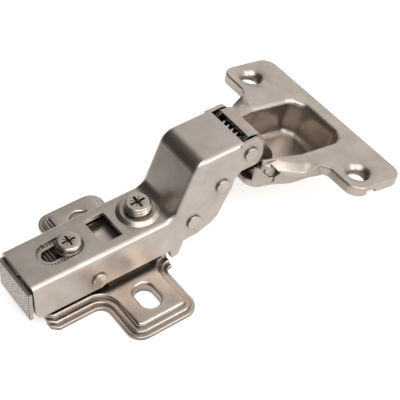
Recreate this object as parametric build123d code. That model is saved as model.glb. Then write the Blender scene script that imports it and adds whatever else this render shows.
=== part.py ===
from build123d import *
import os
from math import atan2, cos, degrees, hypot, radians, sin, tan

# Concealed cup hinge, clip-on, for an inset door, drawn fully open
# X runs along the arm to the cup, Z stands up from the cabinet side, Y is the hinge axis
# The origin lies between the two mounting slots, on the face that meets the cabinet

# Sheet and clearances
ARM_T = 1.2
LINK_T = 1.2
RUN_GAP = 0.05
SLIDE_GAP = 0.15
FREE_GAP = 0.3

# Mounting plate
SLOT_SPACING = 32.0
SLOT_WIDTH = 5.6
SLOT_LENGTH = 8.6
WING_REACH = 26.2
WING_HALF = 10.2
WING_CORNER = 4.2
RAIL_HALF = 10.9
RAIL_REAR = 25.3
NOSE_FRONT = 12.2
NOSE_HALF = 9.6
NOSE_CORNER = 1.6
CUT_CORNER = 1.6
INNER_CORNER = 3.0
RIM_T = 1.0
TREAD_Z = 1.9
PLATEAU_Z = 3.1
TREAD_STEP = 1.2
PLATEAU_STEP = 1.4
RIM_EDGE_R = 0.35
TREAD_EDGE_R = 0.5
PLATEAU_EDGE_R = 0.9
SLOT_LIP = 1.2
SLOT_ROLL = 1.0
HUMP_HALF = 5.3
HUMP_TOP = 11.7
HUMP_REAR = 15.7
HUMP_FRONT = 10.4
HUMP_T = 1.1
SWEEP_R = 3.2

# Adapter that clips on the mounting plate
ADAPTER_T = 1.1
ADAPTER_REAR = 25.8
ADAPTER_FRONT = 12.0
ADAPTER_FOOT = 5.0
DEPTH_TRAVEL = 3.5

# Hinge arm
ARM_TOP = 16.4
ARM_REAR = 28.45
ARM_REAR_HALF = 8.08
ARM_FRONT_HALF = 8.4
ARM_FOOT_REAR = 4.6
ARM_HEEL_R = 2.4
ARM_FOOT_MID = 5.3
CRANK_X = 14.3
CROWN_X = 21.5
CROWN_Z = 32.0
WEB_FRONT = 36.3
REAR_EDGE_R = 1.0
CROWN_EDGE_R = 2.6
CRANK_R = 4.0
CROWN_R = 5.0
WINDOW_X = (-5.9, 0.2)
WINDOW_HALF = 4.8
TAB_X = (12.8, 16.3)
TAB_TIP = 2.4
ARM_STEP_X = -8.6

# Pivots in the side view, X and Z
PIN_PAST_WEB = 2.2
PIN_BELOW_CROWN = 4.6
LINK_SETBACK = 9.15
LINK_DROP = 6.8
FRONT_PIN = (WEB_FRONT + PIN_PAST_WEB, CROWN_Z - PIN_BELOW_CROWN)
INNER_PIN = (FRONT_PIN[0] - LINK_SETBACK, FRONT_PIN[1] - LINK_DROP)
DAMPER_PIN = (20.06, 12.45)
REAR_RIVET = (-9.54, 8.34)
FRONT_PIN_R = 1.7
INNER_PIN_R = 1.6
DAMPER_PIN_R = 1.4
RIVET_R = 1.6
HEAD_R = 2.05
HEAD_H = 0.7
EAR_R = 4.1

# Cup, in its own tilted frame: U away from the arm, W out of the flange
CUP_PAST_WEB = 26.82
CUP_BELOW_CROWN = 12.39
FLANGE_X = WEB_FRONT + CUP_PAST_WEB
FLANGE_Z = CROWN_Z - CUP_BELOW_CROWN
OPEN_TILT = 12.0
CUP_TURN = 95.6
HOLE_INSET = 6.3
HOLE_R = 2.35
SINK_R = 3.9
FLANGE_BACK = 6.3
FLANGE_FRONT = 11.7
FLANGE_HALF = 30.3
HOLE_SPACING = 2 * (FLANGE_HALF - HOLE_INSET)
FLANGE_CORNER = 4.0
FLANGE_T = 1.6
FLANGE_EDGE_R = 0.45
ROOT_CREASE = ((-9.2, 13.0), (-7.8, 17.4))
ROOT_END = 20.0
ROOT_FALL = 3.6
FLANGE_SKIRT = 2.8
COLLAR_WALL = 2.0
CUP_OFFSET = 6.0
CUP_R = 17.5
CUP_DEPTH = 12.0
POCKET_SHORT = 1.6
POCKET_BACK_STEP = (1.7, 2.6)
POCKET_BACK_HALF = 5.6
POCKET_NECK = (15.6, 8.8)
POCKET_SHOULDER = (9.6, 10.4)
POCKET_FRONT = (6.3, 6.4)
POCKET_FRONT_STEP = (2.3, 3.9)
CUP_WALL = 0.9
BRIM_FLAT_R = 12.6
BRIM_DROP = 2.4
BRIM_T = 1.5
POCKET_RIM_R = 2.0
POCKET_FLOOR_R = 2.2
POCKET_CORNER_R = 2.4
DEEP_PIN = (-16.5, -8.807)
SHALLOW_PIN = (-18.25, -4.854)
CUP_PIN_R = 1.15
STAPLE_REACH = 11.0
STAPLE_END = 9.2
WINDOW_AT = (-17.6, -5.2)
WINDOW_SIZE = (6.6, 3.0)
WINDOW_TURN = -42.0
WINDOW_FLOOR = 9.0

# Links
OUTER_HALF = 6.4
OUTER_WEB = 5.3
OUTER_NECK = 6.0
OUTER_TOP = 3.6
DEEP_EYE_R = 2.05
INNER_HALF = 4.4
KNUCKLE_R = 2.9
SHALLOW_EYE_R = 2.65
OPEN_PIVOT_PLAY = 1.85
OPEN_PIVOT_SIDE = 0.42
OPEN_PIVOT_LIFT = 0.16
FORK_LIP = 0.3
HORN_REACH = 7.0
HORN_ANGLE = -42.0
HORN_IN = 1.7
HORN_OUT = 2.9

# Link spring
SPRING_WIRE = 1.1
SPRING_TURNS = 4
SPRING_PITCH = 1.85
SPRING_MEAN_R = 2.35
ARM_LEG = 5.0
ARM_LEG_LEAN = 4.5
LINK_LEG = 6.0
LINK_LEG_LEAN = 9.0

# Damper
CYLINDER_R = 2.3
CYLINDER_LENGTH = 8.2
DAMPER_EYE_R = 2.3
CYLINDER_BORE = 5.6
ROD_INSIDE = 2.4
ROD_R = 0.9
ROD_EYE_R = 1.6
HORN_PIN_R = 0.8

# Adjusting screws
SIDE_SCREW_X = 8.0
SIDE_SCREW_R = 3.5
SIDE_SCREW_TOP = 20.0
DOME_R = 6.1
DOME_RISE = 0.9
NECK_R = 1.6
FOOT_R = 2.6
FOOT_H = 0.9
CLAMP_X = -13.2
CLAMP_HEAD_R = 3.4
CLAMP_SKIRT_R = 3.85
CLAMP_SKIRT_H = 0.7
CLAMP_HEAD_TOP = 18.1
CLAMP_SHANK_R = 1.9
RECESS_X = (-22.5, -9.4)
RECESS_HALF = 4.1
RECESS_DEPTH = 0.5
CLAMP_SLOT_HALF = 2.3
CLAMP_SLOT_REAR = -21.2
CLAMP_SLOT_FRONT = -10.9
SERRATION_PITCH = 1.0
SERRATION_H = 0.4
CLAMP_PLATE_X = (-20.6, -10.6)
CLAMP_PLATE_HALF = 3.3

# Release lever
LEVER_T = 1.0
LEVER_LEAN = 0.5
LEVER_HALF = 7.7
LEVER_TOP = 14.4
LEVER_FOOT = 5.2
LEVER_PIN = (-17.5, 6.3)
LEVER_PIN_R = 1.2
LEVER_ARM_HALF = 4.5
LATCH_LAP = 0.45
LEVER_WIRE = 0.7

# Worked out from the sizes above
ARM_UNDER = ARM_TOP - ARM_T
ADAPTER_HALF = ARM_REAR_HALF - ARM_T - SLIDE_GAP
ADAPTER_TOP = HUMP_TOP + ADAPTER_T
WALL_IN = ARM_FRONT_HALF - ARM_T
CUP_PLANE = Plane(
    origin=(FLANGE_X, 0, FLANGE_Z),
    x_dir=(cos(radians(OPEN_TILT)), 0, -sin(radians(OPEN_TILT))),
    z_dir=(sin(radians(OPEN_TILT)), 0, cos(radians(OPEN_TILT))),
)


def in_side_view(point):
    """A point of the cup's frame, U and W, as X and Z of the whole hinge."""
    place = CUP_PLANE.from_local_coords((point[0], 0, point[1]))
    return (place.X, place.Z)


DEEP_AT = in_side_view(DEEP_PIN)
SHALLOW_AT = in_side_view(SHALLOW_PIN)
OUTER_LENGTH = hypot(DEEP_AT[0] - FRONT_PIN[0], DEEP_AT[1] - FRONT_PIN[1])
OUTER_ANGLE = degrees(atan2(DEEP_AT[1] - FRONT_PIN[1], DEEP_AT[0] - FRONT_PIN[0]))
PIN_SPACING = hypot(SHALLOW_PIN[0] - DEEP_PIN[0], SHALLOW_PIN[1] - DEEP_PIN[1])


def side_face(points, round_at=None):
    """A closed outline in the side view, with the listed corners rounded."""
    face = make_face(Polyline(*points, close=True))
    for corner, radius in round_at or []:
        spot = Vector(corner[0], corner[1])
        vertex = min(face.vertices(), key=lambda v: (Vector(v) - spot).length)
        face = fillet(vertex, radius)
    return face


def across(face, half, middle=0.0, plane=Plane.XZ):
    """A side-view face made solid, evenly about the plane Y = middle."""
    return Pos(0, middle, 0) * extrude(plane * face, half, both=True)


def rod(point, radius, low, high):
    """A round bar along Y through a point of the side view."""
    bar = Plane((point[0], low, point[1]), x_dir=(1, 0, 0), z_dir=(0, 1, 0)) * Circle(radius)
    return extrude(bar, high - low)


def box(x, y, z):
    """A block between the two ends of each axis."""
    size = (x[1] - x[0], y[1] - y[0], z[1] - z[0])
    return Pos((x[0] + x[1]) / 2, (y[0] + y[1]) / 2, (z[0] + z[1]) / 2) * Box(*size)


def obround(x, half, z):
    """An upright slot with round ends, from x[0] to x[1] and z[0] to z[1]."""
    length = x[1] - x[0]
    face = Pos((x[0] + x[1]) / 2, 0, z[0]) * SlotOverall(length, 2 * half)
    return extrude(face, z[1] - z[0])


def link_plane(start, end):
    """A side-view plane with its x along a link and its y on the link's front side."""
    run = (end[0] - start[0], end[1] - start[1])
    length = hypot(*run)
    return Plane(
        origin=(start[0], 0, start[1]),
        x_dir=(run[0] / length, 0, run[1] / length),
        z_dir=(0, -1, 0),
    )


def both_sides(shape):
    """A shape and its mirror image across the middle of the hinge."""
    return shape + mirror(shape, Plane.XZ)


# Mounting plate: cross-shaped pressing with a stepped rim and a raised middle


def plate_outline(inset):
    """The plate seen from above: the front and rear ends are cut straight."""
    wing = WING_HALF - inset
    reach = WING_REACH - inset
    rail = RAIL_HALF - inset
    nose = NOSE_HALF - inset
    half = [(-RAIL_REAR, rail - CUT_CORNER), (-RAIL_REAR + CUT_CORNER, rail), (-wing, rail), (-wing, reach)]
    half += [(wing, reach), (wing, nose), (NOSE_FRONT, nose)]
    points = half + [(x, -y) for x, y in reversed(half)]
    rounds = []
    for side in (1, -1):
        rounds.append(((-wing, side * rail), INNER_CORNER + inset))
        rounds.append(((-wing, side * reach), WING_CORNER - inset))
        rounds.append(((wing, side * reach), WING_CORNER - inset))
        rounds.append(((wing, side * nose), NOSE_CORNER + inset))
    return side_face(points, rounds)


def plate_step(inset, height, edge_r):
    """One step of the pressing, its edge rounded except where the ends are cut."""
    step = extrude(plate_outline(inset), height)
    ends = (-RAIL_REAR, NOSE_FRONT)
    edges = [e for e in step.edges().group_by(Axis.Z)[-1] if min(abs(e.center().X - x) for x in ends) > 0.01]
    return fillet(edges, edge_r)


def plate_hollow():
    """The space under the pressing, one sheet thickness inside its steps."""
    low = extrude(plate_outline(TREAD_STEP + RIM_T), TREAD_Z - RIM_T)
    return low + extrude(plate_outline(TREAD_STEP + PLATEAU_STEP + RIM_T), PLATEAU_Z - RIM_T)


def slot_collar():
    """The rolled edge of a mounting slot, drawn down to the cabinet side."""
    inner = SlotOverall(SLOT_LENGTH, SLOT_WIDTH)
    outer = SlotOverall(SLOT_LENGTH + 2 * SLOT_LIP, SLOT_WIDTH + 2 * SLOT_LIP)
    ring = extrude(outer, PLATEAU_Z) - extrude(inner, PLATEAU_Z)
    return fillet(ring.faces().sort_by(Axis.Z)[-1].inner_wires()[0].edges(), SLOT_ROLL)


def plate_hump(half, top, sweep):
    """The channel along the middle, with its walls swept out into the plate."""
    foot = half + sweep
    points = [(-foot, RIM_T), (-foot, PLATEAU_Z), (-half, PLATEAU_Z), (-half, top)]
    points += [(-y, z) for y, z in reversed(points)]
    corners = [((-half, PLATEAU_Z), sweep - 0.01), ((half, PLATEAU_Z), sweep - 0.01)]
    corners += [((-half, top), 1.4), ((half, top), 1.4)]
    face = side_face(points, corners)
    return Plane.YZ * face


def mounting_plate():
    rise = TREAD_STEP + PLATEAU_STEP
    plate = plate_step(0, RIM_T, RIM_EDGE_R) + plate_step(TREAD_STEP, TREAD_Z, TREAD_EDGE_R)
    plate += plate_step(rise, PLATEAU_Z, PLATEAU_EDGE_R)
    narrow = RAIL_HALF - rise - HUMP_HALF - PLATEAU_EDGE_R
    rail = extrude(plate_hump(HUMP_HALF, HUMP_TOP, narrow), HUMP_FRONT + HUMP_REAR)
    plate += Pos(-HUMP_REAR, 0, 0) * rail
    root = WING_HALF - rise - PLATEAU_EDGE_R
    plate += Pos(-root, 0, 0) * extrude(plate_hump(HUMP_HALF, HUMP_TOP, SWEEP_R), 2 * root)
    plate -= plate_hollow()
    inner = HUMP_HALF - HUMP_T
    hollow_x = (-HUMP_REAR - 1, HUMP_FRONT - HUMP_T)
    plate -= box(hollow_x, (-inner, inner), (0, HUMP_TOP - HUMP_T))
    foot_x = SIDE_SCREW_X + DEPTH_TRAVEL / 2
    foot_length = DEPTH_TRAVEL + 2 * FOOT_R + 2 * FREE_GAP
    reach = (foot_x - foot_length / 2, HUMP_FRONT + 1)
    plate -= box(reach, (-FOOT_R - FREE_GAP, FOOT_R + FREE_GAP), (PLATEAU_Z + 2, HUMP_TOP + 1))
    plate -= Pos(CLAMP_X, 0, HUMP_TOP - HUMP_T - 1) * Cylinder(CLAMP_SHANK_R + FREE_GAP, 6)
    for side in (1, -1):
        place = Pos(0, side * SLOT_SPACING / 2, 0) * Rot(0, 0, 90)
        opening = SlotOverall(SLOT_LENGTH + 2 * SLOT_LIP, SLOT_WIDTH + 2 * SLOT_LIP)
        plate -= place * extrude(opening, 2 * PLATEAU_Z, both=True)
        plate += place * slot_collar()
    return plate


# Adapter: inverted channel that sits on the plate and slides inside the arm


def adapter():
    outer = box((-ADAPTER_REAR, ADAPTER_FRONT), (-ADAPTER_HALF, ADAPTER_HALF), (ADAPTER_FOOT, ADAPTER_TOP))
    edges = outer.edges().filter_by(Axis.X).group_by(Axis.Z)[-1]
    part = fillet(edges, ADAPTER_T)
    inner = ADAPTER_HALF - ADAPTER_T
    part -= box((-ADAPTER_REAR - 1, ADAPTER_FRONT + 1), (-inner, inner), (0, HUMP_TOP))
    slot_x = (REAR_RIVET[0] - RIVET_R - SLIDE_GAP, REAR_RIVET[0] + RIVET_R + SLIDE_GAP + DEPTH_TRAVEL)
    half = RIVET_R + SLIDE_GAP
    guide = Pos((slot_x[0] + slot_x[1]) / 2, REAR_RIVET[1]) * SlotOverall(slot_x[1] - slot_x[0], 2 * half)
    part -= across(guide, ADAPTER_HALF + 1)
    neck_x = (SIDE_SCREW_X - NECK_R - SLIDE_GAP, ADAPTER_FRONT + 1)
    part -= box(neck_x, (-NECK_R - SLIDE_GAP, NECK_R + SLIDE_GAP), (HUMP_TOP - 1, ADAPTER_TOP + 1))
    part -= Pos(CLAMP_X, 0, ADAPTER_TOP) * Cylinder(CLAMP_SHANK_R + RUN_GAP, 4 * ADAPTER_T)
    part -= rod(LEVER_PIN, LEVER_PIN_R, -ADAPTER_HALF - 1, ADAPTER_HALF + 1)
    return part


# Hinge arm: one channel of folded sheet, cranked up to the front pins


def arm_lower_edge():
    """The lower edge of the arm's side wall, from the front ear to the rear."""
    ear, inner, damper = FRONT_PIN, INNER_PIN, DAMPER_PIN
    return [
        (ear[0] - 2.9, ear[1] - 4.8),
        (ear[0] - 5.1, ear[1] - 6.6),
        (inner[0] + 3.25, inner[1] - 2.4),
        (inner[0] - 0.15, inner[1] - 8.0),
        (inner[0] - 1.35, inner[1] - 10.4),
        (damper[0] + 5.74, damper[1] - 3.85),
        (damper[0] + 1.24, damper[1] - 5.35),
        (damper[0] - 3.26, damper[1] - 5.55),
        (TAB_X[1] - 0.1, ARM_FOOT_MID),
        (TAB_X[1] - 1.3, TAB_TIP),
        (TAB_X[0], TAB_TIP),
        (TAB_X[0] - 0.2, ARM_FOOT_MID),
        (ARM_STEP_X + 1.0, ARM_FOOT_MID),
        (ARM_STEP_X, ARM_FOOT_REAR),
        (-ARM_REAR, ARM_FOOT_REAR),
    ]


def arm_width(half_offset, height):
    """The arm seen from above: a little wider at the crank than at the rear."""
    rear = ARM_REAR_HALF - half_offset
    front = ARM_FRONT_HALF - half_offset
    end = FRONT_PIN[0] + 2 * EAR_R
    half = [(-ARM_REAR - half_offset, rear), (CRANK_X, front), (end, front)]
    points = half + [(x, -y) for x, y in reversed(half)]
    return extrude(make_face(Polyline(*points, close=True)), height)


def arm_blank():
    """The arm's outside as a solid, before the inside is taken out."""
    lower = arm_lower_edge()
    top = [(-ARM_REAR, ARM_TOP), (CRANK_X, ARM_TOP), (CROWN_X, CROWN_Z), (WEB_FRONT, CROWN_Z)]
    points = top + [(WEB_FRONT, lower[0][1])] + lower
    corners = [(top[1], CRANK_R), (top[2], CROWN_R), (lower[9], 1.2), (lower[10], 0.6), (lower[4], 2.0)]
    corners += [(lower[14], ARM_HEEL_R), (lower[8], 1.2)]
    blank = across(side_face(points, corners), 2 * ARM_FRONT_HALF)
    blank &= arm_width(0, CROWN_Z + 1)
    top_edges = [e for e in blank.edges() if on_top_fold(e)]
    return fillet(top_edges, REAR_EDGE_R + 0.6)


def on_top_fold(edge):
    """True for an edge where the arm's top folds into a side wall."""
    middle = edge.center()
    along = edge.bounding_box().size
    above = middle.Z > min(ARM_TOP - 0.1, CROWN_Z) and middle.X < WEB_FRONT - 1
    lower = middle.X > CRANK_X + 5 and middle.Z < 10 + middle.X * 0.35
    outer = abs(middle.Y) > min(ARM_REAR_HALF, ARM_FRONT_HALF) - 0.3
    return outer and along.Y < 0.7 and along.X > 0.3 and above and not lower


def arm_inside():
    """The space inside the arm's channel."""
    slope = atan2(CROWN_Z - ARM_TOP, CROWN_X - CRANK_X)
    shift = ARM_T * (1 - cos(slope)) / sin(slope)
    points = [
        (-ARM_REAR - 1, ARM_UNDER),
        (CRANK_X + shift, ARM_UNDER),
        (CROWN_X + shift, CROWN_Z - ARM_T),
        (WEB_FRONT + 1, CROWN_Z - ARM_T),
        (WEB_FRONT + 1, 0),
        (-ARM_REAR - 1, 0),
    ]
    corners = [(points[1], CRANK_R + ARM_T), (points[2], CROWN_R - ARM_T)]
    return across(side_face(points, corners), 2 * ARM_FRONT_HALF) & arm_width(ARM_T, CROWN_Z + 1)


def arm_ears():
    """The two round ears that carry the front pin."""
    x, z = FRONT_PIN
    points = [(WEB_FRONT - 1, z + EAR_R + 0.1), (x + 2.6, z + EAR_R), (x + EAR_R, z + 2.2)]
    points += [(x + EAR_R, z - 2.6), (x + 2.3, z - 4.9), (x - 2.9, z - 4.8), (WEB_FRONT - 1, z - 5.1)]
    corners = [(points[1], 1.8), (points[2], 1.8), (points[3], 2.0), (points[4], 1.2)]
    ear = across(side_face(points, corners), ARM_T / 2, (ARM_FRONT_HALF + WALL_IN) / 2)
    return both_sides(ear)


def hinge_arm():
    part = arm_blank() - arm_inside() + arm_ears()
    dome = Pos(SIDE_SCREW_X, 0, ARM_TOP - 0.1) * extrude(Circle(DOME_R), DOME_RISE + 0.1, taper=50)
    part += fillet(dome.edges().sort_by(Axis.Z)[-1], 0.4)
    part -= Pos(SIDE_SCREW_X, 0, ARM_TOP) * Cylinder(SIDE_SCREW_R + RUN_GAP, 6)
    part -= box(WINDOW_X, (-WINDOW_HALF, WINDOW_HALF), (ARM_UNDER - 1, ARM_TOP + 1))
    part -= obround(RECESS_X, RECESS_HALF, (ARM_TOP - RECESS_DEPTH, ARM_TOP + 1))
    slot_x = (CLAMP_SLOT_REAR, CLAMP_SLOT_FRONT)
    part -= obround(slot_x, CLAMP_SLOT_HALF, (ARM_UNDER - 1, ARM_TOP + 1))
    wide = ARM_FRONT_HALF + 1
    for point, radius in ((FRONT_PIN, FRONT_PIN_R), (INNER_PIN, INNER_PIN_R), (DAMPER_PIN, DAMPER_PIN_R)):
        part -= rod(point, radius, -wide, wide)
    part -= rod(REAR_RIVET, RIVET_R, -wide, wide)
    return part


def riveted_pin(point, radius, half):
    """A pin across the arm with a flat head on the outside of each wall."""
    head = rod(point, HEAD_R, half, half + HEAD_H)
    head = fillet(head.edges().sort_by(Axis.Y)[-1], 0.25)
    return rod(point, radius, -half, half) + both_sides(head)


def rear_rivets():
    """Two short rivets that guide the arm in the adapter's slots."""
    half = ARM_REAR_HALF + (ARM_FRONT_HALF - ARM_REAR_HALF) * (REAR_RIVET[0] + ARM_REAR) / (CRANK_X + ARM_REAR)
    head = rod(REAR_RIVET, HEAD_R, half + RUN_GAP, half + HEAD_H)
    head = fillet(head.edges().sort_by(Axis.Y)[-1], 0.25)
    stem = rod(REAR_RIVET, RIVET_R, ADAPTER_HALF - ADAPTER_T + RUN_GAP, half + HEAD_H / 2)
    one = stem + head
    return Compound(children=[one, mirror(one, Plane.XZ)])


# Outer link: channel with its web to the front, from the front pin to the deep cup pin


def shallow_pin_path():
    """The arc that the shallow cup pin sweeps past the outer link's cheeks."""
    start = degrees(atan2(SHALLOW_AT[1] - DEEP_AT[1], SHALLOW_AT[0] - DEEP_AT[0])) - OUTER_ANGLE
    arc = CenterArc((OUTER_LENGTH, 0), PIN_SPACING, start - 1, CUP_TURN + 2)
    return SlotArc(arc, 2 * (CUP_PIN_R + FREE_GAP))


def outer_link():
    plane = link_plane(FRONT_PIN, DEEP_AT)
    length = OUTER_LENGTH
    web_end = length - OUTER_NECK
    eye = DEEP_EYE_R
    profile = [
        (-OUTER_TOP, -1.2),
        (-OUTER_TOP, 2.4),
        (-1.6, OUTER_WEB),
        (web_end, OUTER_WEB),
        (length - 4.1, OUTER_WEB - 0.3),
        (length - 0.9, eye + 0.5),
        (length + eye, eye - 1.0),
        (length + eye, -eye),
        (length - 2.2, -eye),
        (web_end - 0.4, -1.4),
        (1.0, -2.9),
        (-2.6, -2.9),
    ]
    rounds = ((0, 1.2), (1, 0.5), (2, 1.6), (4, 1.6), (5, 1.6), (6, 1.2), (7, 1.6), (11, 1.5))
    face = side_face(profile, [(profile[i], r) for i, r in rounds]) - shallow_pin_path()
    face = face.faces().sort_by(SortBy.AREA)[-1]
    solid = across(face, OUTER_HALF, plane=plane)
    web_in = OUTER_WEB - LINK_T
    lip, shoulder = profile[1], profile[2]
    slant = atan2(shoulder[1] - lip[1], shoulder[0] - lip[0])
    lip_in = (lip[0] + LINK_T * sin(slant), lip[1] - LINK_T * cos(slant))
    inside = [
        (-9, -9),
        (lip[0] - 6 * sin(slant), lip[1] + 6 * cos(slant)),
        lip_in,
        (lip_in[0] + (web_in - lip_in[1]) / tan(slant), web_in),
        (web_end, web_in),
        (web_end, 9),
        (length + 9, 9),
        (length + 9, -9),
    ]
    solid -= across(side_face(inside, [(inside[3], 0.6)]), OUTER_HALF - LINK_T, plane=plane)
    solid -= rod(FRONT_PIN, FRONT_PIN_R + RUN_GAP, -OUTER_HALF - 1, OUTER_HALF + 1)
    solid -= rod(DEEP_AT, CUP_PIN_R + RUN_GAP, -OUTER_HALF - 1, OUTER_HALF + 1)
    return solid


# Inner link: thick leaf with a rolled knuckle on the inner pin and two horns for the damper


def horn_at():
    turn = radians(HORN_ANGLE)
    return (INNER_PIN[0] + HORN_REACH * cos(turn), INNER_PIN[1] + HORN_REACH * sin(turn))


def inner_link():
    plane = link_plane(INNER_PIN, SHALLOW_AT)
    length = hypot(SHALLOW_AT[0] - INNER_PIN[0], SHALLOW_AT[1] - INNER_PIN[1])
    leaf = side_face([(0, 1.1), (length - 1.0, 1.0), (length - 1.0, SHALLOW_EYE_R), (0, KNUCKLE_R)])
    part = across(leaf, INNER_HALF, plane=plane)
    part += rod(INNER_PIN, KNUCKLE_R, -WALL_IN + FREE_GAP, WALL_IN - FREE_GAP)
    fork = [(length - 5.5, -1.4), (length - 3.0, -SHALLOW_EYE_R), (length + FORK_LIP, -SHALLOW_EYE_R)]
    fork += [(length + FORK_LIP, SHALLOW_EYE_R), (length - 5.5, SHALLOW_EYE_R)]
    fork = side_face(fork, [(fork[1], 1.5), (fork[2], 0.7), (fork[3], 0.7)])
    part += across(fork, INNER_HALF, plane=plane)
    horn = link_plane(INNER_PIN, horn_at())
    plate = Pos(HORN_REACH / 2, 0) * SlotOverall(HORN_REACH + 2 * ROD_EYE_R, 2 * ROD_EYE_R)
    part += both_sides(across(plate, (HORN_OUT - HORN_IN) / 2, (HORN_OUT + HORN_IN) / 2, plane=horn))
    play = CUP_PIN_R + OPEN_PIVOT_SIDE
    hole = Pos(length, OPEN_PIVOT_LIFT) * SlotOverall(2 * OPEN_PIVOT_PLAY + 2 * play, 2 * play)
    part -= across(hole, INNER_HALF + 1, plane=plane)
    part -= rod(INNER_PIN, INNER_PIN_R + RUN_GAP, -WALL_IN, WALL_IN)
    part -= rod(horn_at(), HORN_PIN_R, -INNER_HALF, INNER_HALF)
    return part


def horn_pin():
    """The small pin between the inner link's horns that pushes the damper rod."""
    return rod(horn_at(), HORN_PIN_R, -HORN_OUT, HORN_OUT)


# Link spring: coiled round the front pin, with a leg on the arm and one on the outer link


def torsion_spring(wire, mean, pitch, turns, first_leg, last_leg):
    """A coil that rises along Z, with a straight leg off each end."""
    coil = Helix(pitch, pitch * turns, mean)
    section = Circle(wire / 2)
    spring = sweep(Plane(origin=coil @ 0, z_dir=coil % 0) * section, path=coil, is_frenet=True)
    spring += extrude(Plane(origin=coil @ 0, z_dir=coil % 0) * section, -first_leg)
    spring += extrude(Plane(origin=coil @ 1, z_dir=coil % 1) * section, last_leg)
    return spring


def link_spring():
    turns = SPRING_TURNS - (OUTER_ANGLE + LINK_LEG_LEAN + ARM_LEG_LEAN) / 360
    spring = torsion_spring(SPRING_WIRE, SPRING_MEAN_R, SPRING_PITCH, turns, ARM_LEG, LINK_LEG)
    low = -SPRING_PITCH * turns / 2
    lean = radians(ARM_LEG_LEAN)
    place = Plane((FRONT_PIN[0], low, FRONT_PIN[1]), x_dir=(sin(lean), 0, cos(lean)), z_dir=(0, 1, 0))
    return place * spring


# Damper: small cylinder on its own pin, with a rod to the inner link's horns


def damper_plane():
    return link_plane(DAMPER_PIN, horn_at())


def damper_cylinder():
    plane = damper_plane()
    eye = rod(DAMPER_PIN, DAMPER_EYE_R, -DAMPER_EYE_R, DAMPER_EYE_R)
    turned = Plane(origin=plane.origin, z_dir=plane.x_dir)
    barrel = extrude(turned * Circle(CYLINDER_R), CYLINDER_LENGTH)
    bore = turned.offset(CYLINDER_LENGTH - CYLINDER_BORE)
    barrel -= extrude(bore * Circle(ROD_R + RUN_GAP), CYLINDER_BORE + 1)
    part = eye + barrel
    part -= rod(DAMPER_PIN, DAMPER_PIN_R + RUN_GAP, -DAMPER_EYE_R - 1, DAMPER_EYE_R + 1)
    return part


def damper_rod():
    plane = damper_plane()
    reach = hypot(horn_at()[0] - DAMPER_PIN[0], horn_at()[1] - DAMPER_PIN[1])
    turned = Plane(origin=plane.origin, z_dir=plane.x_dir).offset(CYLINDER_LENGTH - ROD_INSIDE)
    part = extrude(turned * Circle(ROD_R), reach - CYLINDER_LENGTH + ROD_INSIDE)
    part += rod(horn_at(), ROD_EYE_R, -HORN_IN + FREE_GAP, HORN_IN - FREE_GAP)
    part -= rod(horn_at(), HORN_PIN_R + 0.2, -HORN_OUT, HORN_OUT)
    return part


# Cup: pressed pocket with a round brim and a screw-on flange


def cup_outline(grow, nose):
    """The pocket's outline seen into the cup, widened by grow all round."""
    back = -CUP_OFFSET - CUP_R + POCKET_SHORT
    side = (back + POCKET_BACK_STEP[0], POCKET_BACK_HALF + POCKET_BACK_STEP[1])
    front = (POCKET_FRONT[0] - POCKET_FRONT_STEP[0], POCKET_FRONT[1] + POCKET_FRONT_STEP[1])
    half = [
        (back - grow, POCKET_BACK_HALF + nose + grow * 0.4),
        (side[0] - grow * 0.6, side[1] + nose + grow),
        (-POCKET_NECK[0], POCKET_NECK[1] + nose + grow),
        (-POCKET_SHOULDER[0], POCKET_SHOULDER[1] + nose * 0.3 + grow),
        (front[0] + grow * 0.4, front[1] + grow),
        (POCKET_FRONT[0] + grow, POCKET_FRONT[1] + grow * 0.4),
    ]
    points = half + [(u, -y) for u, y in reversed(half)]
    rounds = [(p, POCKET_CORNER_R + grow) for p in points[:2] + points[-2:]]
    rounds += [(p, 5.0) for p in (points[2], points[3], points[8], points[9])]
    rounds += [(p, POCKET_CORNER_R + grow) for p in points[4:8]]
    return side_face(points, rounds)


def cup_body(grow, nose, depth, top):
    low = Pos(0, 0, -depth) * cup_outline(grow, -nose)
    high = Pos(0, 0, top) * cup_outline(grow, nose)
    return loft([low, high], ruled=True)


def flange_outline():
    """The flange in plan, a little wider where it runs into the brim."""
    inner, outer = ROOT_CREASE
    half = [inner, outer, (-FLANGE_BACK, ROOT_END), (-FLANGE_BACK, FLANGE_HALF), (FLANGE_FRONT, FLANGE_HALF)]
    points = half + [(u, -y) for u, y in reversed(half)]
    rounds = [(p, FLANGE_CORNER) for p in points[3:7]]
    rounds += [(p, 1.5) for p in (points[2], points[7])]
    return side_face(points, rounds)


def cup_flange():
    plate = extrude(flange_outline(), -FLANGE_SKIRT)
    plate = fillet(plate.edges().group_by(Axis.Z)[-1], FLANGE_EDGE_R)
    hollow = Pos((FLANGE_FRONT - FLANGE_BACK) / 2, 0, -FLANGE_T) * RectangleRounded(
        FLANGE_FRONT + FLANGE_BACK - 2.4, 2 * FLANGE_HALF - 2.4, FLANGE_CORNER - 1.2
    )
    plate -= extrude(hollow, -FLANGE_SKIRT)
    collar = Pos(0, HOLE_SPACING / 2, -FLANGE_T) * Circle(HOLE_R + COLLAR_WALL)
    plate += both_sides(extrude(collar, FLANGE_T - FLANGE_SKIRT))
    notch = box((-1.6, 1.6), (-FLANGE_HALF - 1, -FLANGE_HALF + 2), (-FLANGE_SKIRT - 1, -FLANGE_T))
    return plate - both_sides(notch)


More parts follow.
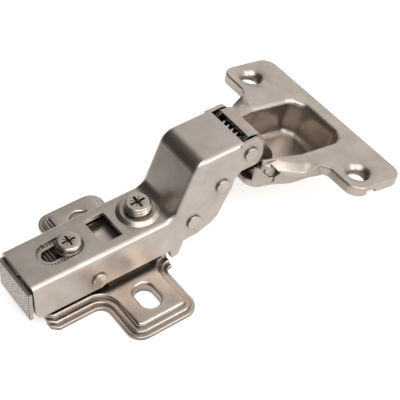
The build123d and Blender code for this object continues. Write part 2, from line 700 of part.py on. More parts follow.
def cup_brim():
    """The round brim that fills the bored hole, falling to its edge."""
    half_r = (BRIM_FLAT_R + CUP_R) / 2
    edge = (CUP_R, -BRIM_DROP)
    points = [(0, 0), (BRIM_FLAT_R, 0), (half_r, -0.36 * BRIM_DROP), edge, (CUP_R, -BRIM_DROP - BRIM_T)]
    points += [(BRIM_FLAT_R - 1, -BRIM_T - 0.3), (0, -BRIM_T - 0.3)]
    profile = side_face(points, [(points[1], 1.5), (points[2], 3.0), (edge, 0.3)])
    return Pos(-CUP_OFFSET, 0, 0) * revolve(Plane.XZ * profile, Axis.Z)


def brim_fold():
    """The slope between the flange's crease and the falling brim, on each side."""
    inner, outer = ROOT_CREASE
    turn = degrees(atan2(outer[0] - inner[0], outer[1] - inner[1]))
    low = -BRIM_DROP - BRIM_T / 2
    slope = side_face([(4, 0), (0, 0), (low * ROOT_FALL / BRIM_DROP, low), (4, low)])
    half = hypot(outer[0] - inner[0], outer[1] - inner[1]) / 2 + 1
    middle = ((inner[0] + outer[0]) / 2, -(inner[1] + outer[1]) / 2)
    fold = Pos(middle[0], middle[1], 0) * Rot(0, 0, turn) * across(slope, half)
    reach = Pos(-CUP_OFFSET, 0, -BRIM_DROP) * Cylinder(CUP_R, 4 * BRIM_DROP)
    return both_sides(fold & reach)


def pocket_lip():
    """The flare that rounds the pocket's edge into the brim."""
    sheet = Pos(-CUP_OFFSET, 0, -POCKET_RIM_R / 2) * Box(4 * CUP_R, 4 * CUP_R, POCKET_RIM_R)
    ring = sheet - cup_body(0, 0.6, CUP_DEPTH, 1.0)
    rim = ring.faces().sort_by(Axis.Z)[-1].inner_wires()[0].edges()
    return sheet - fillet(rim, POCKET_RIM_R - 0.05)


def pin_hole(pin):
    """A hole across the cup for one leg of the staple."""
    return Pos(pin[0], 0, pin[1]) * Rot(90, 0, 0) * Cylinder(CUP_PIN_R, 2 * CUP_R)


def cup():
    outside = cup_body(CUP_WALL, 0.6, CUP_DEPTH, -0.6)
    outside = fillet(outside.edges().group_by(Axis.Z)[0], POCKET_FLOOR_R + CUP_WALL * 0.6)
    part = cup_flange() + cup_brim() + brim_fold() + outside
    pocket = cup_body(0, 0.6, CUP_DEPTH - CUP_WALL, 0.6)
    part -= fillet(pocket.edges().group_by(Axis.Z)[0], POCKET_FLOOR_R)
    part -= pocket_lip()
    mouth = ARM_FRONT_HALF + FREE_GAP + 0.1
    back = -CUP_R - 2 * CUP_OFFSET
    part -= box((back, -17.0), (-mouth, mouth), (-BRIM_DROP - BRIM_T - 0.1, BRIM_DROP))
    slot = OUTER_HALF + FREE_GAP + 0.6
    part -= box((back, -19.5), (-slot, slot), (SHALLOW_PIN[1] - 3.8, BRIM_DROP))
    for side in (1, -1):
        hole = Pos(0, side * HOLE_SPACING / 2, 0)
        part -= hole * Cylinder(HOLE_R, 4 * FLANGE_SKIRT)
        part -= hole * Pos(0, 0, -0.75) * Cone(HOLE_R, SINK_R, 1.5)
    for pin in (DEEP_PIN, SHALLOW_PIN):
        part -= pin_hole(pin)
    turn = radians(WINDOW_TURN)
    window = Plane((WINDOW_AT[0], -CUP_R, WINDOW_AT[1]), x_dir=(cos(turn), 0, sin(turn)), z_dir=(0, 1, 0))
    part -= extrude(window * Rectangle(*WINDOW_SIZE), CUP_R - WINDOW_FLOOR)
    return CUP_PLANE * part


def cup_staple():
    """One bent wire whose two legs are the pivots of the links in the cup."""
    part = None
    for pin in (DEEP_PIN, SHALLOW_PIN):
        leg = rod(pin, CUP_PIN_R, -STAPLE_END, STAPLE_REACH)
        leg += Pos(pin[0], STAPLE_REACH, pin[1]) * Sphere(CUP_PIN_R)
        part = leg if part is None else part + leg
    run = (SHALLOW_PIN[0] - DEEP_PIN[0], SHALLOW_PIN[1] - DEEP_PIN[1])
    turned = Plane((DEEP_PIN[0], STAPLE_REACH, DEEP_PIN[1]), z_dir=(run[0], 0, run[1]))
    part += extrude(turned * Circle(CUP_PIN_R), PIN_SPACING)
    return CUP_PLANE * part


# Adjusting screws


def cross_recess(radius, depth, top):
    """A cross-shaped driver recess with four fine marks between its arms."""
    blade = radius * 0.36
    cut = Box(2 * radius, blade, 2 * depth) + Box(blade, 2 * radius, 2 * depth)
    for turn in (45, 135):
        cut += Rot(0, 0, turn) * Box(1.7 * radius, blade * 0.3, depth / 3)
    return Pos(0, 0, top) * cut


def side_screw():
    """Side adjusting screw: threaded through the arm, its foot held in the adapter."""
    low = ADAPTER_TOP + FREE_GAP
    body = extrude(Pos(0, 0, low) * Circle(SIDE_SCREW_R), SIDE_SCREW_TOP - low)
    screw = fillet(body.edges().sort_by(Axis.Z)[-1], 0.5)
    foot = HUMP_TOP - FREE_GAP - FOOT_H
    screw += extrude(Pos(0, 0, foot) * Circle(NECK_R), low - foot + 0.2)
    screw += extrude(Pos(0, 0, foot) * Circle(FOOT_R), FOOT_H)
    screw -= cross_recess(2.2, 1.8, SIDE_SCREW_TOP)
    return Pos(SIDE_SCREW_X, 0, 0) * screw


def clamp_screw():
    """Clamping screw: the skirt of its head bites the arm round the slot."""
    seat = ARM_TOP - RECESS_DEPTH
    head = extrude(Pos(0, 0, seat) * Circle(CLAMP_HEAD_R), CLAMP_HEAD_TOP - seat)
    screw = fillet(head.edges().sort_by(Axis.Z)[-1], 0.7)
    flare = degrees(atan2(CLAMP_SKIRT_R - CLAMP_HEAD_R, CLAMP_SKIRT_H))
    screw += extrude(Pos(0, 0, seat) * Circle(CLAMP_SKIRT_R), CLAMP_SKIRT_H, taper=flare)
    low = HUMP_TOP - 2.4
    screw += extrude(Pos(0, 0, low) * Circle(CLAMP_SHANK_R), seat - low + 0.2)
    screw -= cross_recess(1.9, 1.3, CLAMP_HEAD_TOP)
    return Pos(CLAMP_X, 0, 0) * screw


def clamp_plate():
    """Serrated plate under the arm's slot, gripped by the clamping screw."""
    top = ARM_UNDER
    part = box(CLAMP_PLATE_X, (-CLAMP_PLATE_HALF, CLAMP_PLATE_HALF), (ADAPTER_TOP, top - SERRATION_H))
    count = int((CLAMP_PLATE_X[1] - CLAMP_PLATE_X[0]) / SERRATION_PITCH)
    for i in range(count):
        x = CLAMP_PLATE_X[0] + (i + 0.5) * SERRATION_PITCH
        low = top - SERRATION_H - 0.05
        tooth = [(x - 0.4, low), (x + 0.4, low), (x + 0.15, top), (x - 0.15, top)]
        part += across(side_face(tooth), CLAMP_PLATE_HALF)
    part -= Pos(CLAMP_X, 0, top) * Cylinder(CLAMP_SHANK_R + RUN_GAP, 8)
    return part


# Release lever at the rear


def release_lever():
    inner = -ARM_REAR - SLIDE_GAP
    foot = inner - LEVER_LEAN
    face = [(inner, LEVER_TOP), (inner - LEVER_T, LEVER_TOP), (foot - LEVER_T, LEVER_FOOT), (foot, LEVER_FOOT)]
    part = across(side_face(face), LEVER_HALF)
    x, z = LEVER_PIN
    nose = (-HUMP_REAR + LATCH_LAP, HUMP_TOP - HUMP_T - 0.4)
    root = foot - LEVER_T / 2
    points = [(root, LEVER_FOOT + 0.4), (x - 1, z - 2.2), (x + 1.7, z - 2.2), (x + 1.7, z + 0.8)]
    points += [(-HUMP_REAR - 0.3, z + 1.6), (-HUMP_REAR - 0.3, nose[1] - 1.1), (nose[0], nose[1] - 1.0)]
    points += [nose, (-HUMP_REAR - 1.6, nose[1]), (x - 2.4, z + 2.2), (root, LEVER_FOOT + 4.6)]
    cheek = across(side_face(points), LEVER_T / 2, LEVER_ARM_HALF - LEVER_T)
    part += both_sides(cheek)
    part -= rod(LEVER_PIN, LEVER_PIN_R + RUN_GAP, -LEVER_HALF, LEVER_HALF)
    return part


def lever_pin():
    return rod(LEVER_PIN, LEVER_PIN_R, -ADAPTER_HALF, ADAPTER_HALF)


def lever_spring():
    """Small return spring coiled on the lever pin."""
    spring = torsion_spring(LEVER_WIRE, LEVER_PIN_R + LEVER_WIRE / 2 + RUN_GAP, 1.0, 3.3, 2.6, 2.6)
    place = Plane((LEVER_PIN[0], -1.7, LEVER_PIN[1]), x_dir=(0, 0, 1), z_dir=(0, 1, 0))
    return place * spring


NODES = {
    "mounting_plate": mounting_plate,
    "adapter": adapter,
    "hinge_arm": hinge_arm,
    "front_pin": lambda: riveted_pin(FRONT_PIN, FRONT_PIN_R, ARM_FRONT_HALF),
    "inner_link_pin": lambda: riveted_pin(INNER_PIN, INNER_PIN_R, ARM_FRONT_HALF),
    "damper_pin": lambda: riveted_pin(DAMPER_PIN, DAMPER_PIN_R, ARM_FRONT_HALF),
    "rear_rivets": rear_rivets,
    "outer_link": outer_link,
    "inner_link": inner_link,
    "horn_pin": horn_pin,
    "link_spring": link_spring,
    "damper_cylinder": damper_cylinder,
    "damper_rod": damper_rod,
    "cup": cup,
    "cup_staple": cup_staple,
    "side_screw": side_screw,
    "clamp_screw": clamp_screw,
    "clamp_plate": clamp_plate,
    "release_lever": release_lever,
    "lever_pin": lever_pin,
    "lever_spring": lever_spring,
}

os.makedirs("parts", exist_ok=True)
for name, make in NODES.items():
    shape = make()
    export_step(shape, "parts/" + name + ".step")
    print(name, round(shape.volume, 1))
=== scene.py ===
import bmesh
import bpy
import math
from mathutils import Matrix, Vector


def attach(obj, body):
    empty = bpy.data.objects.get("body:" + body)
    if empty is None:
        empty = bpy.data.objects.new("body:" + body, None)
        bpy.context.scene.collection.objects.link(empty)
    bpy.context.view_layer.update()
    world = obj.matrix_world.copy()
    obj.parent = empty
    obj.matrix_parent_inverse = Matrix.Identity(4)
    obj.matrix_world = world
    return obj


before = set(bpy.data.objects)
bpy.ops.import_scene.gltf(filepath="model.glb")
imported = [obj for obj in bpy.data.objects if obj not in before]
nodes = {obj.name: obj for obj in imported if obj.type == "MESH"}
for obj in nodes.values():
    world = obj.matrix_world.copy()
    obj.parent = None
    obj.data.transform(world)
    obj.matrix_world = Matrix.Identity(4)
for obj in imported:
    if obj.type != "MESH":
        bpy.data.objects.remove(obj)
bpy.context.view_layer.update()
scene = bpy.context.scene

# Camera
# The hinge lies on its mounting plate and is seen from behind the release lever,
# from the left and above, through a long lens that stands a third of a metre off.
azimuth = math.radians(-36.03)
elevation = math.radians(45.66)
roll = math.radians(1.009)
camera_spot = (-0.11519, -0.19718, 0.25826)
back = Vector((
    math.sin(azimuth) * math.cos(elevation),
    -math.cos(azimuth) * math.cos(elevation),
    math.sin(elevation),
))
level = (-back).cross(Vector((0, 0, 1))).normalized()
upright = level.cross(-back)
right = math.cos(roll) * level + math.sin(roll) * upright
above = math.cos(roll) * upright - math.sin(roll) * level
lens = bpy.data.cameras.new("product_camera")
lens.sensor_width = 36
lens.lens = 114.3
lens.clip_start = 0.01
lens.clip_end = 20
camera = bpy.data.objects.new("product_camera", lens)
scene.collection.objects.link(camera)
camera_turn = Matrix((right, above, back)).transposed().to_4x4()
camera.matrix_world = Matrix.Translation(camera_spot) @ camera_turn
scene.camera = camera


# Mounting plate
# Cross-shaped pressing of 1 mm steel sheet, with a stepped rim and a raised channel
# that the adapter clips over. It was tumbled and nickel-plated after stamping.
def add_node(tree, kind, sockets=None, **settings):
    """Adds a shader node with its settings, and with a value or a link in each socket given."""
    node = tree.nodes.new("ShaderNode" + kind)
    node.location = (200 * len(tree.nodes), 0)
    for name, value in settings.items():
        setattr(node, name, value)
    for name, value in (sockets or {}).items():
        if isinstance(value, bpy.types.NodeSocket):
            tree.links.new(value, node.inputs[name])
        else:
            node.inputs[name].default_value = value
    return node


def colour(code):
    """A hex sRGB colour as Blender's linear RGBA."""
    parts = [int(code[i:i + 2], 16) / 255 for i in (1, 3, 5)]
    linear = [p / 12.92 if p <= 0.04045 else ((p + 0.055) / 1.055) ** 2.4 for p in parts]
    return (*linear, 1.0)


def plated_steel(name, light, dark, gloss, along=(1, 1, 1), edge_mm=0.12, crevice_mm=2.2, crease_shade="#5d5348"):
    """Nickel plate over steel: cloudy tone, fine tumbled grain, painted shade in creases, soft edges.

    along stretches the grain, edge_mm is the radius that tumbling gave the edges, and
    crevice_mm is how far the painted shade in a crease reaches, darkening the base colour
    toward the given shade colour.
    """
    cloud_mm, grain_mm, grain_height = 6.25, 0.2, 0.00008
    cloud_from, cloud_to = 0.3, 0.7
    shut_crease, open_face = 0.22, 0.95
    gloss_from, gloss_to = gloss - 0.05, gloss + 0.07
    made = bpy.data.materials.new(name)
    made.use_nodes = True
    tree = made.node_tree
    shader = tree.nodes["Principled BSDF"]
    shader.inputs["Metallic"].default_value = 1.0
    place = add_node(tree, "TexCoord")
    millimetres = add_node(tree, "Mapping", {
        "Vector": place.outputs["Object"], "Scale": (1000, 1000, 1000)})
    cloud = add_node(tree, "TexNoise", {
        "Vector": millimetres.outputs["Vector"], "Scale": 1 / cloud_mm, "Detail": 4.0, "Roughness": 0.6})
    tone = add_node(tree, "ValToRGB", {"Fac": cloud.outputs["Fac"]})
    # Painted shade: ambient occlusion darkens the base colour in creases and under parts.
    crevice = add_node(tree, "AmbientOcclusion", {"Distance": crevice_mm / 1000}, samples=8)
    depth = add_node(tree, "ValToRGB", {"Fac": crevice.outputs["AO"]})
    for ramp, positions, codes in (
        (tone, (cloud_from, cloud_to), (dark, light)),
        (depth, (shut_crease, open_face), (crease_shade, "#ffffff")),
    ):
        for stop, position, code in zip(ramp.color_ramp.elements, positions, codes):
            stop.position = position
            stop.color = colour(code)
    shaded_tone = add_node(tree, "Mix", {
        "Factor": 1.0, "A": tone.outputs["Color"], "B": depth.outputs["Color"],
    }, data_type="RGBA", blend_type="MULTIPLY")
    stretched = add_node(tree, "Mapping", {"Vector": millimetres.outputs["Vector"], "Scale": along})
    grain = add_node(tree, "TexNoise", {
        "Vector": stretched.outputs["Vector"], "Scale": 1 / grain_mm, "Detail": 3.0, "Roughness": 0.65})
    sheen = add_node(tree, "MapRange", {
        "Value": grain.outputs["Fac"], "To Min": gloss_from, "To Max": gloss_to})
    edge = add_node(tree, "Bevel", {"Radius": edge_mm / 1000}, samples=4)
    relief = add_node(tree, "Bump", {
        "Height": grain.outputs["Fac"], "Normal": edge.outputs["Normal"],
        "Strength": 0.06, "Distance": grain_height})
    tree.links.new(shaded_tone.outputs["Result"], shader.inputs["Base Color"])
    tree.links.new(sheen.outputs["Result"], shader.inputs["Roughness"])
    tree.links.new(relief.outputs["Normal"], shader.inputs["Normal"])
    return made


def smooth_shading(angle):
    """Joins the loose triangles and shades every edge below the angle smooth."""
    name = "smooth_%d" % angle
    if name in bpy.data.node_groups:
        return bpy.data.node_groups[name]
    weld = 0.000002
    group = bpy.data.node_groups.new(name, "GeometryNodeTree")
    group.interface.new_socket("Geometry", in_out="INPUT", socket_type="NodeSocketGeometry")
    group.interface.new_socket("Geometry", in_out="OUTPUT", socket_type="NodeSocketGeometry")
    start = group.nodes.new("NodeGroupInput")
    end = group.nodes.new("NodeGroupOutput")
    merge = group.nodes.new("GeometryNodeMergeByDistance")
    merge.inputs["Distance"].default_value = weld
    faces = group.nodes.new("GeometryNodeSetShadeSmooth")
    edges = group.nodes.new("GeometryNodeSetShadeSmooth")
    edges.domain = "EDGE"
    fold = group.nodes.new("GeometryNodeInputMeshEdgeAngle")
    gentle = group.nodes.new("FunctionNodeCompare")
    gentle.operation = "LESS_THAN"
    gentle.inputs[1].default_value = math.radians(angle)
    link = group.links.new
    link(start.outputs[0], merge.inputs["Geometry"])
    link(merge.outputs["Geometry"], faces.inputs["Geometry"])
    link(faces.outputs["Geometry"], edges.inputs["Geometry"])
    link(fold.outputs["Unsigned Angle"], gentle.inputs[0])
    link(gentle.outputs[0], edges.inputs["Shade Smooth"])
    link(edges.outputs["Geometry"], end.inputs[0])
    return group


def dress(name, material, angle=32):
    """Gives a CAD node its finish and smooth shading across its gentle edges."""
    node = nodes[name]
    node.data.materials.clear()
    node.data.materials.append(material)
    smooth = node.modifiers.new("smooth", "NODES")
    smooth.node_group = smooth_shading(angle)


# Pressed and tumbled: smooth, fairly glossy, with wide soft highlights on the rim.
# Its creases carry painted shade reaching 3.5 mm.
plate_steel = plated_steel(
    "nickel_plated_pressed_steel", "#cbc1b8", "#b5a99e", gloss=0.28, edge_mm=0.25, crevice_mm=3.5)
dress("mounting_plate", plate_steel)

# Adapter and clamp plate
# Folded steel channel that clips on the mounting plate, and the small coined plate
# below the arm's slot, which the clamping screw grips.

# Folded and plated: its painted crease shade is kept short and light, so it is bright and even where it
# shows through the arm's window.
channel_steel = plated_steel(
    "nickel_plated_channel_steel", "#d2cac2", "#c3b9b0", gloss=0.3, crevice_mm=1.2, crease_shade="#857b71")
dress("adapter", channel_steel)
# Coined and plated: its ribs lie deep in the slot, so its colour is painted darker as shade, with crease
# shade painted out to 7 mm.
grip_steel = plated_steel(
    "nickel_plated_coined_steel", "#978d84", "#857b71", gloss=0.32, edge_mm=0.1, crevice_mm=7.0)
dress("clamp_plate", grip_steel, angle=20)

# Hinge arm
# One channel folded from steel sheet and cranked up at the front, then drum-finished
# and plated. It slides on the adapter, guided by its rivets.

# Drum-finished: broad faces are satin, with grain drawn along the arm, and folds are bright.
arm_steel = plated_steel(
    "nickel_plated_folded_steel", "#cfc6be", "#c0b5ac", gloss=0.34, along=(0.5, 1, 1), edge_mm=0.2)
dress("hinge_arm", arm_steel)

# Serrations round the slot
# The sunk track of the clamping screw is coined with short cross cuts, 0.9 mm apart,
# that grip the underside of its head. They are bumped into the arm's own finish, and
# their dark ticks are painted shade in the cuts.
track_start, track_end = -0.0189, -0.0132
track_floor, track_half = 0.0159, 0.0041
cut_pitch, cut_depth = 0.0009, 0.00012
ring_middle, ring_half = 0.87 * track_half, 0.13 * track_half
pitch_radius = 0.8 * track_half
floor_reach = 0.00012
tick_edge, tick_heart = 0.1, 0.8
tree = arm_steel.node_tree
shader = tree.nodes["Principled BSDF"]
place = add_node(tree, "TexCoord")
apart = add_node(tree, "SeparateXYZ", {"Vector": place.outputs["Object"]})
x, y, z = (apart.outputs[axis] for axis in "XYZ")
slot_x = add_node(tree, "Clamp", {"Value": x, "Min": track_start, "Max": track_end}).outputs["Result"]
aside = add_node(tree, "Math", {0: x, 1: slot_x}, operation="SUBTRACT").outputs["Value"]
around = add_node(tree, "Math", {0: y, 1: aside}, operation="ARCTAN2").outputs["Value"]
run = add_node(tree, "Math", {0: around, 1: pitch_radius, 2: slot_x}, operation="MULTIPLY_ADD")
turns = add_node(tree, "Math", {
    0: run.outputs["Value"], 1: 2 * math.pi / cut_pitch}, operation="MULTIPLY")
wave = add_node(tree, "Math", {0: turns.outputs["Value"]}, operation="COSINE")
ticks = add_node(tree, "MapRange", {
    "Value": wave.outputs["Value"], "From Min": tick_edge, "From Max": tick_heart})
on_floor = add_node(tree, "Math", {0: z, 1: track_floor, 2: floor_reach}, operation="COMPARE")
from_slot = add_node(tree, "CombineXYZ", {"X": aside, "Y": y})
reach = add_node(tree, "VectorMath", {0: from_slot.outputs["Vector"]}, operation="LENGTH")
in_ring = add_node(tree, "Math", {
    0: reach.outputs["Value"], 1: ring_middle, 2: ring_half}, operation="COMPARE")
on_track = add_node(tree, "Math", {
    0: on_floor.outputs["Value"], 1: in_ring.outputs["Value"]}, operation="MULTIPLY")
coined = add_node(tree, "Math", {
    0: ticks.outputs["Result"], 1: on_track.outputs["Value"]}, operation="MULTIPLY").outputs["Value"]
notched = add_node(tree, "Bump", {
    "Height": coined, "Normal": shader.inputs["Normal"].links[0].from_socket,
    "Strength": 1.0, "Distance": cut_depth}, invert=True)
# Painted shade: the base colour is darkened to #6d6157 inside each cut.
shaded_ticks = add_node(tree, "Mix", {
    "Factor": coined, "A": shader.inputs["Base Color"].links[0].from_socket, "B": colour("#6d6157"),
}, data_type="RGBA")
tree.links.new(notched.outputs["Normal"], shader.inputs["Normal"])
tree.links.new(shaded_ticks.outputs["Result"], shader.inputs["Base Color"])

# Pins and rivets
# Turned steel pins whose flat heads are riveted over the arm's walls, with the bent
# wire staple in the cup, the hidden pins of lever and horns, and the damper's rod.

# Turned, then plated: a little brighter and glossier than sheet.
pin_steel = plated_steel("nickel_plated_turned_steel", "#d1c8c0", "#c1b7ae", gloss=0.28)
for pin in (
    "front_pin", "inner_link_pin", "damper_pin", "rear_rivets",
    "horn_pin", "cup_staple", "lever_pin", "damper_rod",
):
    dress(pin, pin_steel)

# Links
# Outer link folded from sheet steel and inner link blanked from thick strip, plated
# before they went in. Each turns on a pin in the arm and on a leg of the cup's staple.

# Blanked and tumbled: satin, with a cloudier tone than the arm.
link_steel = plated_steel("nickel_plated_link_steel", "#cac0b8", "#b6aba1", gloss=0.32)
dress("outer_link", link_steel)
dress("inner_link", link_steel)

# Springs
# Two torsion springs of drawn steel wire: one coiled on the front pin, seen in the
# black gap below the crown, and one on the lever's pin, which pushes the lever back.

# Drawn wire isn't plated here, so it is greyer and shows its round gloss.
spring_steel = plated_steel("drawn_spring_wire", "#b5b0aa", "#a39c94", gloss=0.3)
dress("link_spring", spring_steel, angle=60)
dress("lever_spring", spring_steel, angle=60)

# Damper
# Small moulded acetal cylinder, hung on its pin inside the arm. Its rod is pushed by
# the inner link's horns and slows the door before it shuts.

# Moulded acetal: near-black, slightly waxy, with a faint mottle of half a millimetre.
mottle_mm = 0.5
damper_shell = bpy.data.materials.new("moulded_acetal")
damper_shell.use_nodes = True
tree = damper_shell.node_tree
shader = tree.nodes["Principled BSDF"]
shader.inputs["Roughness"].default_value = 0.45
place = add_node(tree, "TexCoord")
millimetres = add_node(tree, "Mapping", {
    "Vector": place.outputs["Object"], "Scale": (1000, 1000, 1000)})
mottle = add_node(tree, "TexNoise", {
    "Vector": millimetres.outputs["Vector"], "Scale": 1 / mottle_mm, "Detail": 3.0})
tint = add_node(tree, "ValToRGB", {"Fac": mottle.outputs["Fac"]})
for stop, code in zip(tint.color_ramp.elements, ("#1d1d1d", "#2b2a29")):
    stop.color = colour(code)
tree.links.new(tint.outputs["Color"], shader.inputs["Base Color"])
dress("damper_cylinder", damper_shell)

# Cup
# Deep-drawn steel pot with its round brim and screw-on flange, all one pressing,
# let into the door and held by two countersunk screws.

# Deep-drawn: satin on the flange, wide soft folds, and brown shade down in the pocket.
cup_steel = plated_steel(
    "nickel_plated_drawn_steel", "#cdc3ba", "#bcb1a7", gloss=0.32, edge_mm=0.5, crevice_mm=5.0,
    crease_shade="#5c5147")
dress("cup", cup_steel, angle=50)

# Screws
# Cold-headed steel screws with cross recesses: the side screw stands in the arm's
# dome, and the clamping screw holds the arm down through its slot.

# Headed and plated by themselves: a little brighter and glossier than the sheet.
# Their recesses carry a short, light painted shade.
screw_steel = plated_steel(
    "nickel_plated_headed_steel", "#d3c9c1", "#bcb1a7", gloss=0.26, crevice_mm=1.1, crease_shade="#93877c")
dress("side_screw", screw_steel)
dress("clamp_screw", screw_steel)

# Thread of the side screw
# Thread rolled on the steel shank, which shows between the dome and the head.
# Its ridge is one helix of 0.8 mm pitch, a flat-topped section spun round the screw.
side_screw_x, side_screw_r = 0.008, 0.0035
thread_low, thread_top = 0.01762, 0.0192
thread_pitch, thread_rise, thread_root = 0.0008, 0.00024, 0.00004
foot_share, crest_share = 0.4, 0.06
spin_steps = 32


def finish_piece(mesh_in_work, name, body, material):
    """Makes a piece of a bmesh, with its finish and its body."""
    mesh = bpy.data.meshes.new(name)
    mesh_in_work.to_mesh(mesh)
    mesh_in_work.free()
    mesh.materials.append(material)
    piece = bpy.data.objects.new(name, mesh)
    scene.collection.objects.link(piece)
    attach(piece, body)
    return piece


ridge = bmesh.new()
root_r, crest_r = side_screw_r - thread_root, side_screw_r + thread_rise
section = [
    (root_r, -foot_share * thread_pitch),
    (crest_r, -crest_share * thread_pitch),
    (crest_r, crest_share * thread_pitch),
    (root_r, foot_share * thread_pitch),
]
corners = [ridge.verts.new((side_screw_x + r, 0, thread_low + rise)) for r, rise in section]
sides = [ridge.edges.new((corners[i - 1], corners[i])) for i in range(len(corners))]
spin_count = round((thread_top - thread_low) / thread_pitch * spin_steps)
bmesh.ops.spin(
    ridge, geom=corners + sides, cent=(side_screw_x, 0, 0), axis=(0, 0, 1), steps=spin_count,
    dvec=(0, 0, thread_pitch / spin_steps), angle=2 * math.pi * spin_count / spin_steps,
    use_merge=False,
)
open_ends = [edge for edge in ridge.edges if edge.is_boundary]
bmesh.ops.holes_fill(ridge, edges=open_ends, sides=len(section))
bmesh.ops.recalc_face_normals(ridge, faces=ridge.faces)
finish_piece(ridge, "side_screw_thread", "side_screw_body", screw_steel)

# Knurl of the clamping screw
# Short ribs rolled round the flared skirt of the steel head, which bite into the
# serrated track when the screw is tightened.
clamp_x = -0.0132
skirt_low, skirt_rise = 0.01593, 0.0007
skirt_r, skirt_top_r = 0.00385, 0.0034
rib_count, rib_stand = 36, 0.00002
rib_size = (0.00022, 0.00026, 0.00062)
rib_r = (skirt_r + skirt_top_r) / 2 + rib_stand
rib_lean = Matrix.Rotation(-math.atan2(skirt_r - skirt_top_r, skirt_rise), 3, "Y")
knurl = bmesh.new()
for i in range(rib_count):
    rib = bmesh.ops.create_cube(knurl, size=1)["verts"]
    rib_turn = Matrix.Rotation(2 * math.pi * i / rib_count, 3, "Z")
    bmesh.ops.scale(knurl, verts=rib, vec=rib_size)
    bmesh.ops.rotate(knurl, verts=rib, cent=(0, 0, 0), matrix=rib_lean)
    bmesh.ops.translate(knurl, verts=rib, vec=(rib_r, 0, skirt_low + skirt_rise / 2))
    bmesh.ops.rotate(knurl, verts=rib, cent=(0, 0, 0), matrix=rib_turn)
    bmesh.ops.translate(knurl, verts=rib, vec=(clamp_x, 0, 0))
finish_piece(knurl, "clamp_screw_knurl", "clamp_screw_body", screw_steel)

# Release lever
# Folded steel lever on a pin at the rear of the adapter. Pressed by the thumb, it
# frees the adapter from the mounting plate.

# Folded and plated as the arm is, in a slightly darker tone.
lever_steel = plated_steel(
    "nickel_plated_lever_steel", "#c6beb6", "#b2a89f", gloss=0.34, crevice_mm=1.2)
dress("release_lever", lever_steel)

# Chequer of the release lever
# Rows of small flat-topped pyramids, pressed into the steel end face before plating.
# The real rows are about 0.5 mm apart, and are drawn at 0.68 mm so that they show.
lever_half = 0.0077
lever_top, lever_foot = Vector((-0.0296, 0, 0.0144)), Vector((-0.0301, 0, 0.0052))
chequer_pitch, chequer_rise, chequer_margin = 0.00068, 0.00014, 0.00005
flank_share, face_gap = 0.2, 0.00001
slope = lever_top - lever_foot
columns = int(2 * (lever_half - chequer_margin) / chequer_pitch)
rows = int((slope.length - 2 * chequer_margin) / chequer_pitch)
across, up_face = Vector((0, -1, 0)), slope.normalized()
face_turn = Matrix((across, up_face, across.cross(up_face))).transposed().to_4x4()
face_place = Matrix.Translation((lever_top + lever_foot) / 2) @ face_turn
chequer = bmesh.new()
bmesh.ops.create_grid(chequer, x_segments=columns, y_segments=rows, size=0.5)
chequer_size = (columns * chequer_pitch, rows * chequer_pitch, 1)
bmesh.ops.scale(chequer, verts=chequer.verts, vec=chequer_size)
flanks = bmesh.ops.inset_individual(
    chequer, faces=chequer.faces, thickness=flank_share * chequer_pitch, depth=chequer_rise,
    use_even_offset=True,
)
for flank in flanks["faces"]:
    flank.material_index = 1
bmesh.ops.translate(chequer, verts=chequer.verts, vec=(0, 0, face_gap))
bmesh.ops.transform(chequer, verts=chequer.verts, matrix=face_place)

# Knurled and plated: the flat tops are painted brighter than the plating, a painted highlight, and the
# grooves between them are a darker copy, painted shade.
bright_knurl_tops = plated_steel(
    "knurled_plated_steel", "#f6f1eb", "#eae3dc", gloss=0.34, edge_mm=0.03, crevice_mm=0.3,
    crease_shade="#b3a79b")
shaded_groove = plated_steel(
    "dull_plated_groove", "#857b71", "#756c63", gloss=0.5, edge_mm=0.03, crevice_mm=0.5)
chequered = finish_piece(chequer, "lever_chequer", "lever_body", bright_knurl_tops)
chequered.data.materials.append(shaded_groove)

# Table top
# A pale matt table, which looks white to the camera and keeps the hinge's shadow. In the
# metal's reflections only, a band of it behind the lever glows brighter, a painted
# reflection that stands for a white card and lights the lever's end face in reflection,
# and beyond it the table's reflection in the metal fades out to dark, a painted reflection.
table_half, table_drop = 3, 0.0003
camera_glow, mirror_glow = 0.72, 0.4
back_left = (-0.82, 0.57, 0)
dim_from, dim_to = 0.036, 0.075
band_from, band_to, band_glow = 0.018, 0.034, 2.2
table = bmesh.new()
bmesh.ops.create_grid(table, x_segments=1, y_segments=1, size=table_half)
bmesh.ops.translate(table, verts=table.verts, vec=(0, 0, -table_drop))
floor_mesh = bpy.data.meshes.new("studio_floor")
table.to_mesh(floor_mesh)
table.free()
floor = bpy.data.objects.new("studio_floor", floor_mesh)
scene.collection.objects.link(floor)
table_top = bpy.data.materials.new("pale_table_top")
table_top.use_nodes = True
tree = table_top.node_tree
tree.nodes.remove(tree.nodes["Principled BSDF"])
place = add_node(tree, "TexCoord")
distance = add_node(tree, "VectorMath", {
    0: place.outputs["Object"], 1: back_left}, operation="DOT_PRODUCT").outputs["Value"]
# Painted reflection: for glossy rays only, a band behind the lever glows up to 2.2 times, and the table
# fades to dark beyond it.
reflection_fade = add_node(tree, "MapRange", {
    "Value": distance, "From Min": dim_from, "From Max": dim_to, "To Min": 1.0, "To Max": 0.0})
reflection_band = add_node(tree, "MapRange", {
    "Value": distance, "From Min": band_from, "From Max": band_to, "To Min": 1.0, "To Max": band_glow})
painted_reflection = add_node(tree, "Math", {
    0: reflection_fade.outputs["Result"], 1: reflection_band.outputs["Result"]}, operation="MULTIPLY")
rays = add_node(tree, "LightPath")
mirrored = add_node(tree, "Math", {
    0: rays.outputs["Is Glossy Ray"], 1: painted_reflection.outputs["Value"]}, operation="MULTIPLY")
straight = add_node(tree, "Math", {
    0: rays.outputs["Is Camera Ray"], 1: rays.outputs["Is Transmission Ray"]}, operation="MAXIMUM")
seen = add_node(tree, "Math", {
    0: straight.outputs["Value"], 1: camera_glow}, operation="MULTIPLY")
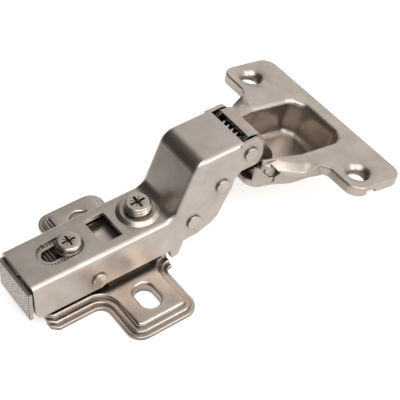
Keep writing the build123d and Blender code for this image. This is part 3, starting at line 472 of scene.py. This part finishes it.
strength = add_node(tree, "Math", {
    0: mirrored.outputs["Value"], 1: mirror_glow, 2: seen.outputs["Value"]}, operation="MULTIPLY_ADD")
glow = add_node(tree, "Emission", {"Color": colour("#ffffff"), "Strength": strength.outputs["Value"]})
matt = add_node(tree, "BsdfDiffuse", {"Color": colour("#eceae8")})
both = add_node(tree, "AddShader", {0: matt.outputs["BSDF"], 1: glow.outputs["Emission"]})
tree.links.new(both.outputs["Shader"], tree.nodes["Material Output"].inputs["Surface"])
floor_mesh.materials.append(table_top)

# Studio surround
# White walls, seen plain by the camera. Metal mirrors them white at the front right,
# and dark at the back left, where the studio is left unlit.
unlit_side = (-0.78, 0.56, 0.28)
wall_tones = ((0.2, "#efecea"), (0.3, "#d1cfcd"), (0.4, "#999896"), (0.6, "#3f3b38"))
fill_strength = 0.45
world = bpy.data.worlds.new("studio")
scene.world = world
world.use_nodes = True
tree = world.node_tree
facing = add_node(tree, "TexCoord")
unlit = add_node(tree, "VectorMath", {
    0: facing.outputs["Generated"], 1: unlit_side}, operation="DOT_PRODUCT")
wall = add_node(tree, "ValToRGB", {"Fac": unlit.outputs["Value"]})
stops = wall.color_ramp.elements
stops[0].position, stops[1].position = wall_tones[0][0], wall_tones[-1][0]
for position, _ in wall_tones[1:-1]:
    stops.new(position)
for stop, (_, code) in zip(stops, wall_tones):
    stop.color = colour(code)
rays = add_node(tree, "LightPath")
white = add_node(tree, "Mix", {
    "Factor": rays.outputs["Is Camera Ray"], "A": wall.outputs["Color"], "B": colour("#ffffff"),
}, data_type="RGBA")
either = add_node(tree, "Math", {
    0: rays.outputs["Is Camera Ray"], 1: rays.outputs["Is Glossy Ray"]}, operation="MAXIMUM")
looked_at = add_node(tree, "Math", {
    0: either.outputs["Value"], 1: rays.outputs["Is Transmission Ray"]}, operation="MAXIMUM")
strength = add_node(tree, "MapRange", {
    "Value": looked_at.outputs["Value"], "To Min": fill_strength, "To Max": 1.0})
sky = tree.nodes["Background"]
tree.links.new(white.outputs["Result"], sky.inputs["Color"])
tree.links.new(strength.outputs["Result"], sky.inputs["Strength"])


# Lamps
# Two soft boxes: one at the front right, which brightens the arm's near wall, and one
# overhead, slightly in front. Both are aimed at the middle of the hinge.
def soft_box(name, spot, width, watts, aim=(0.02, 0, 0.01)):
    """A square area lamp at a spot, turned to the aim."""
    lamp = bpy.data.lights.new(name, "AREA")
    lamp.size = width
    lamp.energy = watts
    holder = bpy.data.objects.new(name, lamp)
    scene.collection.objects.link(holder)
    holder.location = spot
    holder.rotation_mode = "QUATERNION"
    holder.rotation_quaternion = (Vector(aim) - Vector(spot)).to_track_quat("-Z", "Y")


soft_box("lamp_front_right", spot=(0.45, -0.80, 0.62), width=0.5, watts=3)
soft_box("lamp_overhead", spot=(-0.15, -0.35, 1.0), width=0.7, watts=4)

scene.view_settings.view_transform = "Standard"
